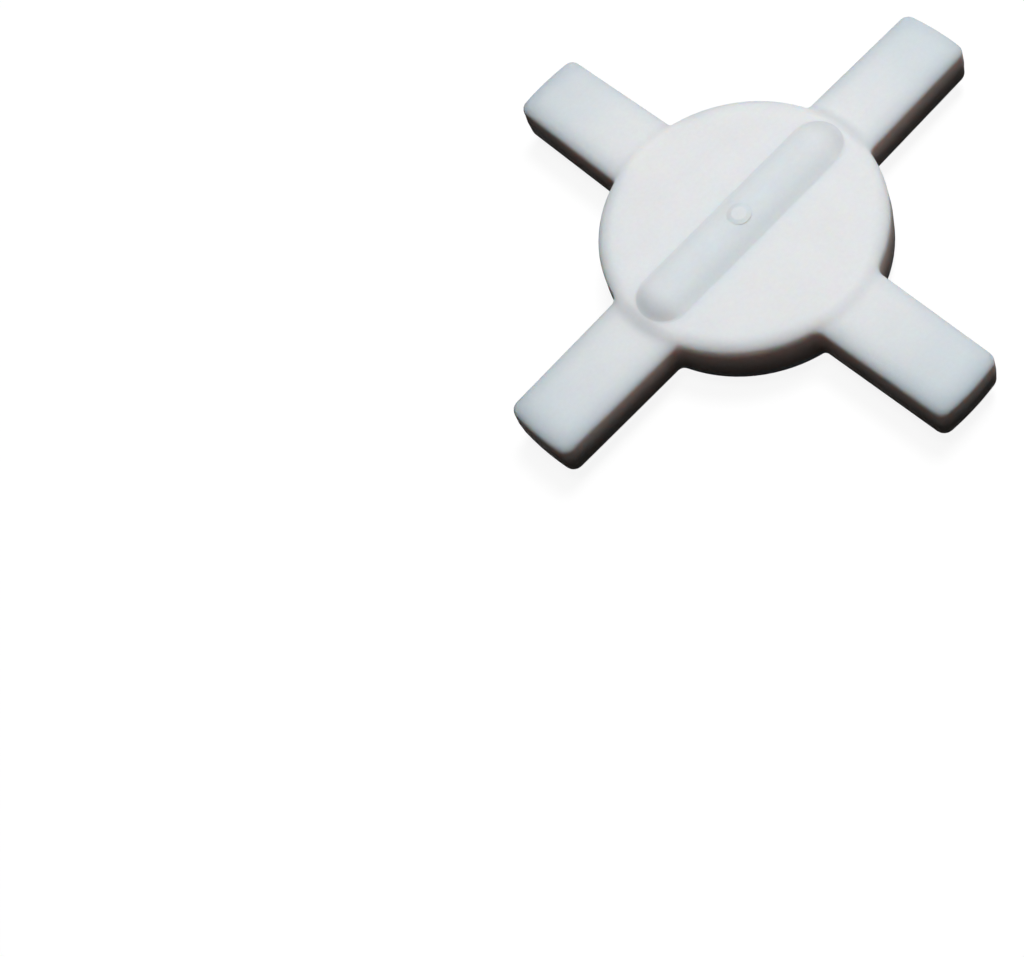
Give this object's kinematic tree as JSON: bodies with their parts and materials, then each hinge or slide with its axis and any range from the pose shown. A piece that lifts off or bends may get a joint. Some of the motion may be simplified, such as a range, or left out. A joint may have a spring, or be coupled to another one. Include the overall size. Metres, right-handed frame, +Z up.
{
  "type": "cross-shaped magnetic stir bar",
  "caption": "Cross-shaped magnetic stir bar: white PTFE disc with flat arms and a round-ended ridge that seals a rod magnet.",
  "frame": {"origin": "centre of the foot button's flat face, at the bottom of the bounding box, under the middle of the disc", "axes": "+X along the magnet and the ridge over it, +Y along the other pair of arms, +Z up, square to the disc"},
  "size_m": [0.05, 0.05, 0.0073],
  "materials": {
    "ptfe": "satin translucent white PTFE",
    "magnet": "ground cast magnet alloy"
  },
  "bodies": {
    "root": {"ptfe_body": "ptfe", "bar_magnet": "magnet"}
  },
  "joints": []
}
